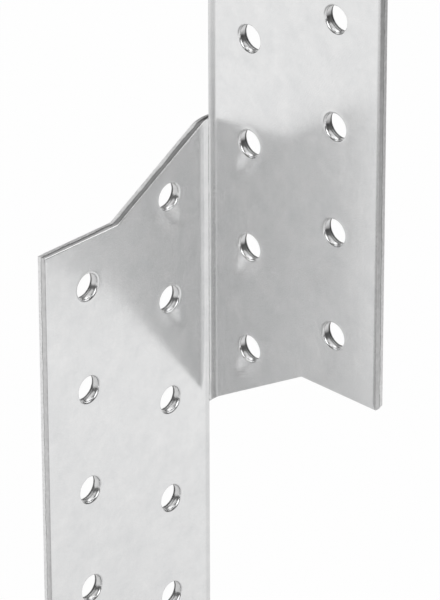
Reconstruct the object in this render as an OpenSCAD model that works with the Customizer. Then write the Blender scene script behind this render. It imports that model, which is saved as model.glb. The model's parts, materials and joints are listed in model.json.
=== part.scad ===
// Hurricane tie: a rafter-to-purlin anchor folded from one galvanised steel sheet.
//
// The blank is a strip with a staggered grid of nail holes. Two of its opposite
// quarters are cut away, so that one leg runs down and the other runs up, and they
// share only a short stretch of the strip's middle line. A quarter-turn fold along that
// line lays the lower leg on the purlin's side and the upper leg on the rafter's side.
// The legs are the same half of the blank, half a turn apart about the level line that
// looks straight into the corner.
//
// Frame: +Z up along the fold, +Y out of the purlin leg's outer face, +X out of the
// rafter leg's. The origin is on the purlin leg's outer face at mid height, where its
// flat meets the bend.

/* [Sheet] */
// Thickness of the sheet
sheet_t = 2; // [1.5:0.1:2.5]
// Radius inside the bend
bend_r = 2; // [1.5:0.1:3]
// Share of the thickness at which the bend neither stretches nor shrinks
k_factor = 0.42; // [0.3:0.01:0.5]

/* [Blank] */
// Width of the flat strip, both legs together
blank_w = 80; // [76:1:100]
// Height of the tie from the lower leg's foot to the upper leg's head
tie_h = 210; // [170:40:370]
// Height of each leg's square end past mid height
square_end = 15; // [12:0.5:18]
// Distance of the sloping end cut's start from the fold line, on the flat strip
slope_start = 22.5; // [20:0.5:26]
// Slope of the end cut where it climbs to the fold, in degrees
slope_angle = 30; // [20:1:35]

/* [Nail holes] */
// Diameter of the holes
hole_d = 4.8; // [4:0.1:5]
// Spacing of the holes down a row, and of the rows
hole_pitch = 20; // [18:1:21]
// Distance of the first row from the fold line, on the flat strip
first_row = 10; // [9:0.5:11]
// How far the hole grid sits above the middle of the strip
grid_shift = 0.9; // [-1:0.1:1]

/* [Sheared edges] */
// Radius to which the blade draws the inner face down along the outline
edge_roll_over = 0.15; // [0.1:0.05:0.3]
// Radius to which the punch draws it down round a hole
hole_roll_over = 0.4; // [0.2:0.05:0.5]
// Depth below the inner face at which a cut stops being smooth and tears
crack_depth = 1; // [0.8:0.1:1.3]
// How far the torn wall has fallen back where it reaches the outer face
tear_back = 0.2; // [0.05:0.01:0.3]

/* [Hidden] */
$fn = 48;

galvanised = [0.66, 0.67, 0.68];
quarter = 90;                                    // turn of the whole bend, in degrees
leg_turn = quarter / 2;                          // one leg's share of the bend
rows_per_leg = 2;
roll_over_steps = 3;                             // facets that round a drawn-down edge
bend_steps = 6;                                  // facets of a cut where it rounds the bend
trim = 0.5;                                      // how much the strip is cut back all round
past = 1;                                        // how far an end cutter runs past the metal
further = 1.5;                                   // how far an edge cutter does, to cross it
run_on = 0.05;                                   // how far a rounding runs on under a face

head = tie_h / 2;                                // height of the upper leg's head
outer_r = bend_r + sheet_t;                      // radius outside the bend
neutral_r = bend_r + k_factor * sheet_t;         // radius that keeps its flat length
bend_run = neutral_r * PI * leg_turn / 180;      // flat strip that one leg puts in the bend
leg_flat = blank_w / 2 - bend_run;               // rest of a leg's half of the strip
holes_per_row = floor((head + square_end) / hole_pitch);

// Height of the sloping end cut at a distance from the fold line, on the flat strip.
function slope_height(from_fold) = square_end + (slope_start - from_fold) * tan(slope_angle);

// Profile of a drawn-down edge: [into the metal, below the inner face].
function drawn_down(r) = [
    for (step = [0 : roll_over_steps])
        let (turn = quarter * step / roll_over_steps)
        r * [1 - cos(turn), 1 - sin(turn)]
];

// The same profile with its last facet run on under the inner face, then straight off it.
function drawn_down_and_off(off) =
    let (
        arc = drawn_down(edge_roll_over),
        before = arc[roll_over_steps - 1],
        stretch = (before[1] + run_on) / before[1],
        end = before + (arc[roll_over_steps] - before) * stretch
    )
    concat([for (step = [0 : roll_over_steps - 1]) arc[step]], [end, [end[0], -off]]);

// Profile of the torn wall, from off the outer face to the smooth wall's end.
function torn(off) =
    let (share = (sheet_t + off - crack_depth) / (sheet_t - crack_depth))
    [[tear_back * share, sheet_t + off], [0, crack_depth]];

// Profile of a whole sheared edge, from off the outer face to off the inner one.
function sheared(off = past) = concat(torn(off), drawn_down_and_off(off));

// A cutter's outline where it crosses the wall: [radius, height, along the leg]. Its
// profile is stretched downwards by a factor, and leans along the leg where two cuts meet.
function cut_outline(height, drop = 1, lean = 0) = concat(
    [[outer_r + past, head + past, 0]],
    [for (p = sheared()) [bend_r + p[1], height - p[0] * drop, p[0] * lean]],
    [[bend_r - past, head + past, 0]]
);

// Where a cutter's outline stands: a place along the leg, then a turn round the bend.
function placed(outline, along, turn = quarter) = [
    for (p = outline) [along + p[2] + p[0] * cos(turn), p[0] * sin(turn), p[1]]
];

// Turns at which a cut is worked out as it goes round a leg's share of the bend.
function turns_round_bend() = [for (i = [1 : bend_steps]) quarter - i * leg_turn / bend_steps];

// Flat strip between the fold line and a turn round the bend.
function strip_to(turn) = neutral_r * PI * (turn - leg_turn) / 180;

// A closed skin over outlines that each have the same number of points.
module skin(rings) {
    n = len(rings[0]);
    sides = [
        for (i = [0 : len(rings) - 2], j = [0 : n - 1])
            let (a = i * n + j, b = i * n + (j + 1) % n)
            each [[a, b, b + n], [a, b + n, a + n]]
    ];
    caps = [
        [for (j = [n - 1 : -1 : 0]) j],
        [for (j = [0 : n - 1]) (len(rings) - 1) * n + j]
    ];
    polyhedron([for (ring = rings) each ring], concat(sides, caps));
}

// The quarter of the strip cut away over a leg: square, then sloping up to the fold line.
module quarter_cut_away() {
    steep = 1 / cos(slope_angle);
    skin(concat(
        [
            placed(cut_outline(square_end), -leg_flat - past),
            placed(
                cut_outline(square_end, lean = tan(slope_angle / 2)),
                strip_to(quarter) - slope_start
            ),
            placed(cut_outline(slope_height(bend_run), steep), 0)
        ],
        [for (turn = turns_round_bend()) placed(cut_outline(slope_height(strip_to(turn)), steep), 0, turn)]
    ));
}

// The square cut across a leg's far end, run right round the bend. Its odd number of
// steps keeps every outline off the fold line, where other cuts end.
module far_end_cut() {
    outline = [for (p = cut_outline(head)) [p[0], -p[1], p[2]]];
    steps = 2 * bend_steps + 1;
    skin(concat(
        [for (i = [0 : steps]) placed(outline, 0, quarter * i / steps)],
        [placed(outline, -leg_flat - past)]
    ));
}

// The cut along the lower leg's free edge.
module free_edge_cut() {
    translate([0, 0, -head - further]) linear_extrude(head + square_end + 2 * further)
        polygon(concat(
            [for (p = sheared(further)) [p[0] - leg_flat, bend_r + p[1]]],
            [for (y = [bend_r - further, outer_r + further]) [-leg_flat - further, y]]
        ));
}

// Draws down and tears the edge along the fold line, below the stretch that both legs share.
module fold_edge_cut() {
    profiles = [
        concat(drawn_down_and_off(further), [[-further, -further], [-further, edge_roll_over]]),
        concat(torn(further), [[-further, crack_depth], [-further, sheet_t + further]])
    ];
    translate([0, 0, -head - further]) linear_extrude(head + further - slope_height(0))
        for (profile = profiles)
            polygon([
                for (p = profile)
                    let (turn = leg_turn + p[0] / (bend_r + max(p[1], 0)) * 180 / PI)
                    (bend_r + p[1]) * [cos(turn), sin(turn)]
            ]);
}

// What the punch takes out of a hole: drawn down at the mouth, smooth, then torn wider.
module punched_hole() {
    r = hole_d / 2;
    torn_r = r + tear_back;
    rotate_extrude()
        polygon(concat(
            [[0, -past], [torn_r, -past], [torn_r, 0], [r, sheet_t - crack_depth]],
            [for (p = drawn_down(hole_roll_over)) [r + p[0], sheet_t - p[1]]],
            [[r + hole_roll_over, sheet_t + past], [0, sheet_t + past]]
        ));
}

// The nail holes of a leg, punched from its inner face.
module nail_holes(shift) {
    for (row = [0 : rows_per_leg - 1], i = [0 : holes_per_row - 1])
        translate([
            bend_run - first_row - row * hole_pitch,
            outer_r,
            square_end - (row / 2 + i) * hole_pitch + shift
        ]) rotate([90, 0, 0]) punched_hole();
}

// The folded strip before anything is cut from it.
module folded_strip() {
    reach = leg_flat + trim;
    height = tie_h + 2 * trim;
    translate([0, 0, -head - trim]) {
        translate([-reach, bend_r, 0]) cube([reach, sheet_t, height]);
        translate([bend_r, -reach, 0]) cube([sheet_t, reach, height]);
        rotate_extrude(angle = quarter) translate([bend_r, 0]) square([sheet_t, height]);
    }
}

// Cuts the lower leg out of its children, with its hole grid moved up by a shift.
module cut_leg(shift) {
    difference() {
        children();
        quarter_cut_away();
        far_end_cut();
        free_edge_cut();
        fold_edge_cut();
        nail_holes(shift);
    }
}

// The whole tie, drawn round the bend's axis: the upper leg is the lower one half turned.
module tie() {
    color(galvanised) translate([0, -outer_r, 0])
        rotate(180, [1, 1, 0]) cut_leg(-grid_shift)
        rotate(180, [1, 1, 0]) cut_leg(grid_shift)
        folded_strip();
}

tie();
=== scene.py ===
"""Dresses the hurricane tie: one folded strip of galvanised sheet, sheared and punched.

The strip is laid out flat, in millimetres, and then carried round the fold. A point on the flat strip
is (s, z, depth): s is the distance from the fold line, positive on the lower leg and negative on the
upper one, z is the height, and depth goes from the inner face, which the punch met, to the outer face.
"""
import json
import math
from collections import namedtuple

import bpy
from mathutils import Matrix, Vector, geometry, noise


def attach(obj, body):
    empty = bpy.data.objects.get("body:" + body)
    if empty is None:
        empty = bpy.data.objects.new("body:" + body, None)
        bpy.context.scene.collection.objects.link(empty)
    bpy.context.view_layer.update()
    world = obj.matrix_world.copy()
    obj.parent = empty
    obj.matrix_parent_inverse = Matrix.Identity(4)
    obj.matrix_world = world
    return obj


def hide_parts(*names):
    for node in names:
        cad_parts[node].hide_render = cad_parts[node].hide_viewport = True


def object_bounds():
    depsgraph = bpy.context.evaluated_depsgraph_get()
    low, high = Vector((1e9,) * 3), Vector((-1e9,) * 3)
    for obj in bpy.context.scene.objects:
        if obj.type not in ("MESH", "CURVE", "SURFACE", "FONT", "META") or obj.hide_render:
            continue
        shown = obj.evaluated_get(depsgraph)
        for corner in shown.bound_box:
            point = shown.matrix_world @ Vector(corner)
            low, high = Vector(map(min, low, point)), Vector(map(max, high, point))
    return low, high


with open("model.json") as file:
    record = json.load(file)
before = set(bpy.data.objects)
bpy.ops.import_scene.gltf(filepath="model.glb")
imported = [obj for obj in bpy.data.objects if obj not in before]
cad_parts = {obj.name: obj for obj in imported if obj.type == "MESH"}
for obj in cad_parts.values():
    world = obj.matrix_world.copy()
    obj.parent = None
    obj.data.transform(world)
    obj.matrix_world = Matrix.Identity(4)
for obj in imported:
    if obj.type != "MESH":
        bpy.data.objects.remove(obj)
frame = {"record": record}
cad_low, cad_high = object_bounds()

MM = 0.001

# ---------------------------------------------------------------- sizes, in millimetres
SHEET = 2.0
BEND_R = 2.0
K_FACTOR = 0.42
STRIP_HALF = 40.0
SQUARE_END = 15.0
SLOPE_START = 22.5
SLOPE = math.tan(math.radians(30))
EDGE_ROLL_OVER = 0.15
HOLE_ROLL_OVER = 0.4
CRACK = 1.0
TEAR = 0.2

OUTER_R = BEND_R + SHEET
NEUTRAL_R = BEND_R + K_FACTOR * SHEET
BEND_RUN = NEUTRAL_R * math.pi / 4
HEAD = cad_high.z / MM
TIP = SQUARE_END + SLOPE_START * SLOPE

# ---------------------------------------------------------------- how finely the mesh is drawn
OUTLINE_STEP = 0.5
HOLE_SIDES = 64
ROLL_STEPS = 5                  # rows of faces round a drawn-down edge
SMOOTH_STEPS = 2                # rows down the smooth band
TEAR_STEPS = 4                  # rows down the torn band, below the crack's lip
GRID = 2.5                      # pitch of the points on the flats
BEND_COLUMNS = 8                # columns of points on each side of the fold line
RING_GAPS = (0.35, 0.85, 1.6)   # how far rings of points lie outside a hole's roll-over
BEND_CLEAR = 0.25               # how far a column of the bend stays from an edge's roll-over
GRID_CLEAR = 1.2                # how far the grid stays from any roll-over
SHARP_ANGLE = 32                # degrees between faces at which the shading breaks

# ---------------------------------------------------------------- fine form of a cut edge
SLIT_ROLL_REACH = 0.65          # the slitter's rolls draw the face down this far from the edge
SLIT_RUBBED_STEPS = 2           # rows of that roll-over which they have rubbed bare
CRACK_WANDER = 0.16             # how far the crack line strays up and down
CRACK_WAVES = ((2.3, 1.7, 1.0), (0.7, 4.1, 0.5))   # (length, seed, share) of its waves
CRACK_LEDGE = 0.05              # how far the wall steps back under the crack line
CRACK_LIP = 0.14                # the depth in which it does
TEAR_ROUGH = 0.018              # how far the torn wall stands in and out
TEAR_GRAIN = 0.45               # length of its bumps
TEAR_SEEDS = (10, 3)            # first seed of its rows, and the step from row to row
DISH_DEPTH = 0.02               # how far the punch draws the face down at a hole
DISH_REACH = 1.7                # the distance in which that dies away

Hole = namedtuple("Hole", "s z radius")

# A point of a cut's rim: where it is on the strip, the way into the metal, the finish of the smooth
# band below it, and how far its roll-over reaches over the inner face.
RimPoint = namedtuple("RimPoint", "place way smooth roll_reach")


def fold(s, z, depth):
    """Where a point of the flat strip comes to lie on the folded tie, in metres."""
    r = BEND_R + depth
    if s > BEND_RUN:
        x, y = BEND_RUN - s, r
    elif s < -BEND_RUN:
        x, y = r, BEND_RUN + s
    else:
        turn = math.pi / 4 + s / NEUTRAL_R
        x, y = r * math.cos(turn), r * math.sin(turn)
    return Vector((x, y - OUTER_R, z)) * MM


def hole_places():
    """Every nail hole, from the nail patterns on the inner faces."""
    holes = []
    for mount in frame["record"]["mounts"]:
        if mount["kind"] != "bolt_pattern":
            continue
        x, y, z = (v / MM for v in mount["pos_m"])
        on_lower = abs(mount["axis"][1]) > 0.5
        s = BEND_RUN - x if on_lower else y + OUTER_R - BEND_RUN
        half = mount["dims"]["spacing_y_mm"] / 2
        holes += [Hole(s, z + dz, mount["dims"]["hole_r_mm"]) for dz in (-half, half)]
    return holes


def hole_gap(s, z, holes):
    """Distance from a point of the strip to the nearest hole, negative inside one."""
    return min(math.hypot(s - hole.s, z - hole.z) - hole.radius for hole in holes)


# ---------------------------------------------------------------- rims of the flat strip
# Finishes, in the order of the tie's material slots.
# The finish of the crack's lip is painted shade: steel coloured dark for the shadow that the lip lies in.
SURFACE, SLIT, SHEARED, PUNCHED, SHADED_LIP, TORN = range(6)


def outline_corners():
    """Corners of the strip with two opposite quarters cut away, anticlockwise."""
    lower = [
        (0, -TIP),
        (0, -HEAD),
        (STRIP_HALF, -HEAD),
        (STRIP_HALF, SQUARE_END),
        (SLOPE_START, SQUARE_END),
    ]
    corners = [Vector(p) for p in lower]
    return corners + [-p for p in corners]


def mitres(corners):
    """How far each corner moves into the metal for every millimetre that its two edges do."""
    moves = []
    for i, here in enumerate(corners):
        before = (here - corners[i - 1]).normalized()
        after = (corners[(i + 1) % len(corners)] - here).normalized()
        inward = Vector((-before.y, before.x)) + Vector((-after.y, after.x))
        moves.append(inward * 2 / inward.length_squared)
    return moves


def outline_rim():
    """The rim all along the strip's outline."""
    corners = outline_corners()
    moves = mitres(corners)
    rim = []
    for i, start in enumerate(corners):
        after = (i + 1) % len(corners)
        end = corners[after]
        steps = round((end - start).length / OUTLINE_STEP)
        smooth = SLIT if abs(start.x) == abs(end.x) == STRIP_HALF else SHEARED
        for k in range(steps):
            t = k / steps
            reach = SLIT_ROLL_REACH if smooth == SLIT and k else EDGE_ROLL_OVER
            rim.append(RimPoint(start.lerp(end, t), moves[i].lerp(moves[after], t), smooth, reach))
    return rim


def hole_rim(hole):
    """The rim round a hole, clockwise, so that the metal is on its left."""
    rim = []
    for k in range(HOLE_SIDES):
        turn = -2 * math.pi * k / HOLE_SIDES
        way = Vector((math.cos(turn), math.sin(turn)))
        rim.append(RimPoint(Vector((hole.s, hole.z)) + hole.radius * way, way, PUNCHED, HOLE_ROLL_OVER))
    return rim


# ---------------------------------------------------------------- section of a cut edge
def wander(point, size, seed):
    """A smooth random value between about -1 and 1, the same on each run."""
    return noise.noise(Vector((point.x / size, point.y / size, seed)))


def edge_rows(rim_point, roll_over):
    """(inset, depth) of each row of a cut edge below a rim point, from the inner face to the outer."""
    rows = []
    for k in range(ROLL_STEPS + 1):
        turn = math.pi / 2 * k / ROLL_STEPS
        rows.append((rim_point.roll_reach * (1 - math.sin(turn)), roll_over * (1 - math.cos(turn))))
    place = rim_point.place
    crack = CRACK + CRACK_WANDER * sum(share * wander(place, size, seed) for size, seed, share in CRACK_WAVES)
    for k in range(1, SMOOTH_STEPS + 1):
        rows.append((0, roll_over + (crack - roll_over) * k / SMOOTH_STEPS))
    torn_from = crack + CRACK_LIP
    rows.append((CRACK_LEDGE, torn_from))
    first_seed, seed_step = TEAR_SEEDS
    for k in range(1, TEAR_STEPS + 1):
        share = k / TEAR_STEPS
        rough = TEAR_ROUGH * wander(place, TEAR_GRAIN, first_seed + seed_step * k)
        inset = CRACK_LEDGE + (TEAR - CRACK_LEDGE) * share + max(rough, -CRACK_LEDGE)
        rows.append((inset, torn_from + (SHEET - torn_from) * share))
    return rows


def row_finishes(smooth):
    """The finish of each row of faces down a wall. A punch rubs half of its torn band smooth too. The row
    under the crack line of a slit or sheared edge, and the rest of a hole's torn band, get painted shade:
    steel coloured dark for the shadow there.
    """
    if smooth == PUNCHED:
        rubbed = TEAR_STEPS // 2
        below = [PUNCHED] * (SMOOTH_STEPS + 1 + rubbed) + [SHADED_LIP] * (TEAR_STEPS - rubbed)
        return [SURFACE] * ROLL_STEPS + below
    rubbed = SLIT_RUBBED_STEPS if smooth == SLIT else 0
    rolled = [SURFACE] * (ROLL_STEPS - rubbed) + [smooth] * rubbed
    return rolled + [smooth] * SMOOTH_STEPS + [SHADED_LIP] + [TORN] * TEAR_STEPS


# ---------------------------------------------------------------- points inside the flat strip
def room(s, z, holes):
    """Distance from a point of the strip to the nearest edge or hole, negative outside."""
    here = Vector((s, z))
    corners = outline_corners()
    inside, nearest = False, math.inf
    for i, a in enumerate(corners):
        b = corners[(i + 1) % len(corners)]
        along = max(0, min(1, (here - a).dot(b - a) / (b - a).length_squared))
        nearest = min(nearest, (here - a.lerp(b, along)).length)
        if (a.y > z) != (b.y > z) and s < a.x + (z - a.y) / (b.y - a.y) * (b.x - a.x):
            inside = not inside
    return min(nearest if inside else -nearest, hole_gap(s, z, holes))


def bend_runs(rows, holes):
    """Columns of points round the bend, each broken where an edge or a hole crosses it."""
    runs = []
    for k in range(-BEND_COLUMNS, BEND_COLUMNS + 1):
        s = BEND_RUN * k / BEND_COLUMNS
        run = []
        for z in rows:
            if room(s, z, holes) > EDGE_ROLL_OVER + BEND_CLEAR:
                run.append((s, z))
            elif run:
                runs.append(run)
                run = []
        if run:
            runs.append(run)
    return runs


def grid_runs(rows, holes):
    """A grid of single points on the flats."""
    runs = []
    for k in range(1, int((STRIP_HALF - BEND_RUN) / GRID) + 1):
        for side in (-1, 1):
            s = side * (BEND_RUN + k * GRID)
            runs += [[(s, z)] for z in rows if room(s, z, holes) > HOLE_ROLL_OVER + GRID_CLEAR]
    return runs


def ring_runs(holes):
    """Rings of single points round the holes, each ring turned a little from the last."""
    runs = []
    for hole in holes:
        for gap in RING_GAPS:
            reach = hole.radius + HOLE_ROLL_OVER + gap
            for k in range(HOLE_SIDES // 2):
                turn = 4 * math.pi * (k + gap) / HOLE_SIDES
                runs.append([(hole.s + reach * math.cos(turn), hole.z + reach * math.sin(turn))])
    return runs


def inner_runs(holes):
    """Runs of points inside the strip. The points of a run are joined by edges of the mesh."""
    rows = [z * GRID for z in range(-int(HEAD / GRID), int(HEAD / GRID) + 1)]
    return bend_runs(rows, holes) + grid_runs(rows, holes) + ring_runs(holes)


def dish(s, z, holes):
    """How far the punch has drawn the inner face down at a point near its holes."""
    gap = hole_gap(s, z, holes) - HOLE_ROLL_OVER
    return DISH_DEPTH * math.exp(-max(gap, 0) / DISH_REACH)


# ---------------------------------------------------------------- the mesh
def spans_a_hole(corners, loops):
    """Whether a face's corners all lie on the rim of one hole, so that it would close the hole."""
    start = len(loops[0])
    for loop in loops[1:]:
        if all(start <= i < start + len(loop) for i in corners):
            return True
        start += len(loop)
    return False


def fill(points, edges, outline):
    """Triangles between points of the flat strip, inside its outline and along the given edges."""
    keep_inside, merge_within = 1, 1e-7
    out = geometry.delaunay_2d_cdt(points, edges, [outline], keep_inside, merge_within)
    verts, _, faces, origins = out[:4]
    assert len(verts) == len(points), "two edges of the flat strip cross"
    return [[origins[i][0] for i in face] for face in faces]


class Shell:
    """The vertices, faces and finishes of the mesh as it grows."""

    def __init__(self):
        self.verts = []
        self.faces = []
        self.finish = []

    def add_vert(self, s, z, depth):
        self.verts.append(fold(s, z, depth))
        return len(self.verts) - 1

    def add_face(self, corners, finish):
        self.faces.append(corners)
        self.finish.append(finish)

    def add_wall(self, rim, roll_over):
        """The wall of a cut edge. Returns its first and last rows: [(index, s, z)] each."""
        columns = []
        for rim_point in rim:
            column = []
            for inset, depth in edge_rows(rim_point, roll_over):
                at = rim_point.place + rim_point.way * inset
                column.append((self.add_vert(at.x, at.y, depth), at.x, at.y))
            columns.append(column)
        for i, here in enumerate(columns):
            after = columns[(i + 1) % len(columns)]
            for k, finish in enumerate(row_finishes(rim[i].smooth)):
                self.add_face([here[k][0], here[k + 1][0], after[k + 1][0], after[k][0]], finish)
        return [c[0] for c in columns], [c[-1] for c in columns]

    def add_sheet_face(self, loops, holes, depth):
        """Fills the flat strip between its loops, which are already in the mesh."""
        points, edges, index = [], [], []
        for loop in loops:
            first = len(points)
            for i, (vert, s, z) in enumerate(loop):
                points.append(Vector((s, z)))
                index.append(vert)
                edges.append((first + i, first + (i + 1) % len(loop)))
        for run in inner_runs(holes):
            for i, (s, z) in enumerate(run):
                points.append(Vector((s, z)))
                index.append(self.add_vert(s, z, depth if depth else dish(s, z, holes)))
                if i:
                    edges.append((len(points) - 2, len(points) - 1))
        for face in fill(points, edges, list(range(len(loops[0])))):
            if not spans_a_hole(face, loops):
                corners = [index[i] for i in face]
                self.add_face(corners if depth else corners[::-1], SURFACE)


def build_tie():
    """The whole tie as one mesh object."""
    holes = hole_places()
    shell = Shell()
    walls = [shell.add_wall(outline_rim(), EDGE_ROLL_OVER)]
    walls += [shell.add_wall(hole_rim(hole), HOLE_ROLL_OVER) for hole in holes]
    shell.add_sheet_face([w[0] for w in walls], holes, 0)
    shell.add_sheet_face([w[1] for w in walls], holes, SHEET)
    mesh = bpy.data.meshes.new("folded_sheet")
    mesh.from_pydata(shell.verts, [], shell.faces)
    mesh.polygons.foreach_set("material_index", shell.finish)
    mesh.polygons.foreach_set("use_smooth", [True] * len(shell.faces))
    mesh.set_sharp_from_angle(angle=math.radians(SHARP_ANGLE))
    mesh.update()
    tie = bpy.data.objects.new("folded_sheet", mesh)
    bpy.context.collection.objects.link(tie)
    even = tie.modifiers.new("flat_faces_shade_flat", "WEIGHTED_NORMAL")
    even.keep_sharp = True
    return tie


# ---------------------------------------------------------------- building node trees
class Nodes:
    """A node tree as it grows. Most methods add a node and return what it gives."""

    def __init__(self, tree):
        self.nodes = tree.nodes
        self.links = tree.links

    def give(self, socket, value):
        """Sets an input to a plain value, or links another node's output to it."""
        if isinstance(value, (int, float, tuple)):
            socket.default_value = value
        else:
            self.links.new(value, socket)

    def add(self, kind, inputs):
        node = self.nodes.new(kind)
        for key, value in inputs.items():
            self.give(node.inputs[key], value)
        return node

    def place(self):
        """The point being shaded, in the object's own metres."""
        return self.nodes.new("ShaderNodeTexCoord").outputs["Object"]

    def scaled(self, coords, scale):
        return self.add("ShaderNodeMapping", {"Vector": coords, "Scale": scale}).outputs["Vector"]

    def noise(self, coords, scale, detail=3.0, roughness=0.55):
        inputs = {"Vector": coords, "Scale": scale, "Detail": detail, "Roughness": roughness}
        return self.add("ShaderNodeTexNoise", inputs).outputs["Fac"]

    def ranged(self, value, low, high, from_low=0.3, from_high=0.7):
        """A value carried from one range to another and held inside it."""
        inputs = {"Value": value, "From Min": from_low, "From Max": from_high, "To Min": low, "To Max": high}
        return self.add("ShaderNodeMapRange", inputs).outputs["Result"]

    def bumped(self, height, distance, strength, below=None):
        """A normal bent by a height field, on top of another bend where there is one."""
        inputs = {"Height": height, "Distance": distance, "Strength": strength}
        if below is not None:
            inputs["Normal"] = below
        return self.add("ShaderNodeBump", inputs).outputs["Normal"]

    def two_tones(self, value, dark, light):
        ramp = self.add("ShaderNodeValToRGB", {"Fac": value})
        for element, position, colour in zip(ramp.color_ramp.elements, (0.3, 0.7), (dark, light)):
            element.position = position
            element.color = (*colour, 1)
        return ramp.outputs["Color"]

    def maths(self, operation, *values):
        node = self.add("ShaderNodeMath", dict(enumerate(values)))
        node.operation = operation
        return node.outputs["Value"]

    def mixed(self, share, first, second):
        return self.add("ShaderNodeMixShader", {"Fac": share, 1: first, 2: second}).outputs["Shader"]


def new_material(name):
    """An empty material, its tree, and the inputs of its Principled shader."""
    material = bpy.data.materials.new(name)
    material.use_nodes = True
    tree = Nodes(material.node_tree)
    return material, tree, tree.nodes["Principled BSDF"].inputs


# ---------------------------------------------------------------- metals
ZINC_TONES = ((0.805, 0.81, 0.815), (0.895, 0.895, 0.895))
ZINC_ROUGHNESS = (0.11, 0.31)
ALONG_THE_ROLL = (1, 1, 0.12)

# Bare steel of the cuts, in the order of the finishes. Cells are per metre, height is in metres.
CutSteel = namedtuple("CutSteel", "name dark light roughness cells detail height bump")
CUT_STEELS = [
    CutSteel("slit_steel", 0.56, 0.68, 0.3, 900, 3, 3e-5, 0.35),       # long edges, slit from the coil
    CutSteel("sheared_steel", 0.22, 0.3, 0.3, 900, 3, 3e-5, 0.4),      # end cuts, darker than the other cuts
    CutSteel("punched_steel", 0.62, 0.74, 0.28, 900, 3, 3e-5, 0.25),   # hole walls, rubbed by the punch
    CutSteel("steel_in_painted_shade", 0.14, 0.34, 0.6, 1500, 4, 0, 0),         # painted shade: the crack's lip, coloured dark for the shadow it lies in
    CutSteel("torn_steel", 0.72, 0.9, 0.36, 2200, 4, 8e-5, 0.5),       # broken away, grey and matt
]


def galvanised():
    """Hot-dip zinc on rolled sheet: satin, with faint mottling and streaks along the roll."""
    material, tree, surface = new_material("galvanised_zinc")
    place = tree.place()
    mottle = tree.noise(place, scale=260, detail=6.0, roughness=0.7)
    rolled = tree.noise(tree.scaled(place, ALONG_THE_ROLL), scale=700)
    grain = tree.noise(place, scale=2200, detail=2.0)
    pores = tree.noise(place, scale=9000, detail=1.0)
    streaked = tree.bumped(rolled, distance=2e-5, strength=0.5)
    tree.give(surface["Base Color"], tree.two_tones(mottle, *ZINC_TONES))
    tree.give(surface["Metallic"], 1.0)
    tree.give(surface["Roughness"], tree.ranged(pores, *ZINC_ROUGHNESS))
    tree.give(surface["Normal"], tree.bumped(grain, distance=1e-5, strength=0.3, below=streaked))
    return material


def cut_steel(look):
    """Where a tool has cut the sheet: finer than the zinc, with faint marks of the tool."""
    material, tree, surface = new_material(look.name)
    marks = tree.noise(tree.place(), scale=look.cells, detail=look.detail)
    tree.give(surface["Base Color"], tree.two_tones(marks, (look.dark,) * 3, (look.light,) * 3))
    tree.give(surface["Metallic"], 1.0)
    tree.give(surface["Roughness"], look.roughness)
    if look.bump:
        tree.give(surface["Normal"], tree.bumped(marks, look.height, look.bump))
    return material


# ---------------------------------------------------------------- floor
FLOOR_SIZE = 12
FLOOR_DROP = 0.0002     # under the tie's foot, so that the two don't touch
FLOOR_GREY = 0.9        # its colour under the lamps
FLOOR_ROUGHNESS = 0.9
FLOOR_WHITE = 0.97      # share of plain white that the camera and the metal see
FLOOR_SEEN = 0.94       # brightness of that white, as the metal sees it
MOST_DIM = 0.98         # most that the sectors take from it together

# Painted shade on the floor, which only the metal sees, as dark patches in its reflections. A sector lies
# round an azimuth, whole within its inner half-angle and gone beyond its outer one, all in degrees. It is
# whole at one distance from the tie and gone at another, nearer or farther, in metres. A loss below 0 makes
# the floor brighter, as painted light.
Sector = namedtuple("Sector", "azimuth inner outer whole_at gone_at loss")
PAINTED_LIGHT_AND_SHADE_SECTORS = [
    Sector(-45, 1.8, 3.9, 0.6, 0.8, 1.0),      # painted reflection: a dark strip at the camera's azimuth, which each leg sees in the other
    Sector(-46, 14, 30, 0.6, 0.8, -0.06),      # painted light: a brighter band round that strip
    Sector(-88, 24, 33, 0.25, 0.4, 0.54),      # left of it, which the upper leg's half of the fold sees
    Sector(-22, 12, 26, 0.6, 0.8, 0.12),       # right of it, which the lower leg's half sees
    Sector(45, 25, 40, 0.27, 0.19, 0.4),       # far right, which the lower leg and the free edges see
    Sector(45, 25, 40, 0.55, 0.42, 0.55),      # farther that way, which the hole walls see
    Sector(0, 180, 181, 0.06, 0.16, 0.08),     # painted shade close round the foot
]


def sector_share(tree, sector, bearing, reach):
    """How much of a sector there is at a place of the floor, from 0 to 1."""
    away = tree.maths("ABSOLUTE", tree.maths("SUBTRACT", bearing, math.radians(sector.azimuth)))
    across = tree.ranged(away, 1, 0, math.radians(sector.inner), math.radians(sector.outer))
    if sector.whole_at < sector.gone_at:
        along = tree.ranged(reach, 1, 0, sector.whole_at, sector.gone_at)
    else:
        along = tree.ranged(reach, 0, 1, sector.gone_at, sector.whole_at)
    return tree.maths("MULTIPLY", across, along)


def floor_painted_shade(tree):
    """How much darker than white the metal sees the floor: the painted shade of the sectors."""
    place = tree.place()
    parts = tree.add("ShaderNodeSeparateXYZ", {0: place}).outputs
    bearing = tree.maths("ARCTAN2", parts["X"], tree.maths("MULTIPLY", parts["Y"], -1))
    length = tree.add("ShaderNodeVectorMath", {0: place})
    length.operation = "LENGTH"
    total = 1 - FLOOR_SEEN
    for sector in PAINTED_LIGHT_AND_SHADE_SECTORS:
        share = sector_share(tree, sector, bearing, length.outputs["Value"])
        total = tree.maths("MULTIPLY_ADD", share, sector.loss, total)
    return tree.maths("MINIMUM", total, MOST_DIM)


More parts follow.
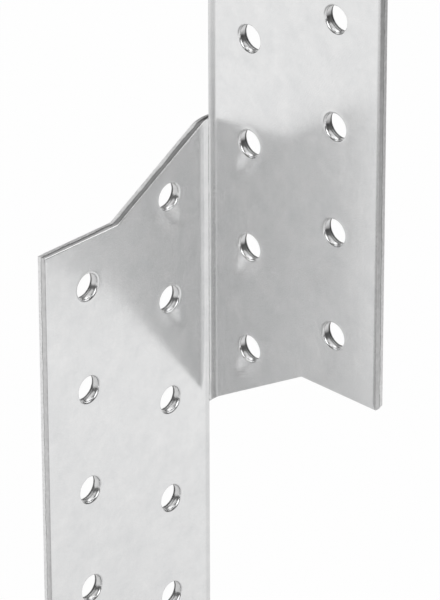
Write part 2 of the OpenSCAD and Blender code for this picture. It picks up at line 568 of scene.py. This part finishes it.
def floor_material():
    """A pale matt floor that the camera and the metal see as almost white, with its shadow kept, and with
    painted shade in sectors that only the metal sees.
    """
    material, tree, surface = new_material("pale_floor")
    tree.give(surface["Base Color"], (FLOOR_GREY, FLOOR_GREY, FLOOR_GREY, 1))
    tree.give(surface["Roughness"], FLOOR_ROUGHNESS)
    tree.give(surface["Specular IOR Level"], 0.0)
    rays = tree.add("ShaderNodeLightPath", {}).outputs
    painted_shade = tree.maths("MULTIPLY", floor_painted_shade(tree), rays["Is Glossy Ray"])
    white = tree.add("ShaderNodeEmission", {"Strength": tree.maths("SUBTRACT", 1, painted_shade)})
    seen = tree.maths("MAXIMUM", rays["Is Camera Ray"], rays["Is Glossy Ray"])
    matt = tree.nodes["Principled BSDF"].outputs["BSDF"]
    mix = tree.mixed(tree.maths("MULTIPLY", seen, FLOOR_WHITE), matt, white.outputs["Emission"])
    tree.give(tree.nodes["Material Output"].inputs["Surface"], mix)
    return material


def add_floor():
    bpy.ops.mesh.primitive_plane_add(size=FLOOR_SIZE, location=(0, 0, cad_low.z - FLOOR_DROP))
    floor = bpy.context.object
    floor.name = "floor"
    floor.data.materials.append(floor_material())


# ---------------------------------------------------------------- light and camera
WHITE = (1, 1, 1, 1)
WORLD_LIGHT = 0.12

# Square-on soft lights round the tie. Sizes are in metres, and the face glows at the radiance.
SOFTBOX_DISTANCE = 1.6
Softbox = namedtuple("Softbox", "name azimuth elevation width height radiance")
SOFTBOXES = [
    Softbox("over_camera", -46, 40, 2.2, 1.1, 1.6),
    Softbox("overhead", 130, 80, 1.2, 1.2, 1.6),
    Softbox("back_left", 172, 44, 3.2, 0.8, 0.9),
    Softbox("back_right", 97, 46, 2.8, 0.8, 0.9),
]

CAMERA_AZIMUTH = -45.93
CAMERA_ELEVATION = 27.97
CAMERA_ROLL = -0.147
CAMERA_DISTANCE = 0.957
CAMERA_LENS = 325.41
AIM = Vector((5.37, -1.41, -9.55)) * MM


def towards(azimuth, elevation):
    """Unit vector from the tie towards a place in the studio. Azimuth 0 is -Y and 90 is +X."""
    a, e = math.radians(azimuth), math.radians(elevation)
    return Vector((math.sin(a) * math.cos(e), -math.cos(a) * math.cos(e), math.sin(e)))


def add_world():
    """A white background for the camera, which lights the tie only dimly."""
    world = bpy.data.worlds.new("studio")
    bpy.context.scene.world = world
    world.use_nodes = True
    tree = Nodes(world.node_tree)
    dim = tree.nodes["Background"]
    tree.give(dim.inputs["Color"], WHITE)
    tree.give(dim.inputs["Strength"], WORLD_LIGHT)
    white = tree.add("ShaderNodeBackground", {"Color": WHITE})
    seen = tree.add("ShaderNodeLightPath", {}).outputs["Is Camera Ray"]
    mix = tree.mixed(seen, dim.outputs["Background"], white.outputs["Background"])
    tree.give(tree.nodes["World Output"].inputs["Surface"], mix)


def add_softbox(box):
    data = bpy.data.lights.new(box.name, "AREA")
    data.shape = "RECTANGLE"
    data.size, data.size_y = box.width, box.height
    data.energy = box.radiance * box.width * box.height * math.pi
    lamp = bpy.data.objects.new(box.name, data)
    back = towards(box.azimuth, box.elevation)
    lamp.location = back * SOFTBOX_DISTANCE
    lamp.rotation_euler = back.to_track_quat("Z", "Y").to_euler()
    lamp.visible_camera = False
    bpy.context.collection.objects.link(lamp)


def add_camera():
    data = bpy.data.cameras.new("camera")
    data.lens = CAMERA_LENS
    camera = bpy.data.objects.new("camera", data)
    back = towards(CAMERA_AZIMUTH, CAMERA_ELEVATION)
    turn = back.to_track_quat("Z", "Y").to_matrix() @ Matrix.Rotation(math.radians(CAMERA_ROLL), 3, "Z")
    camera.matrix_world = Matrix.Translation(AIM + back * CAMERA_DISTANCE) @ turn.to_4x4()
    bpy.context.collection.objects.link(camera)
    bpy.context.scene.camera = camera


# ---------------------------------------------------------------- the scene
bpy.context.scene.view_settings.view_transform = "Standard"
add_camera()
add_world()
add_floor()
for softbox in SOFTBOXES:
    add_softbox(softbox)

tie = build_tie()
for finish in [galvanised()] + [cut_steel(look) for look in CUT_STEELS]:
    tie.data.materials.append(finish)
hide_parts("tie")
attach(tie, "root")
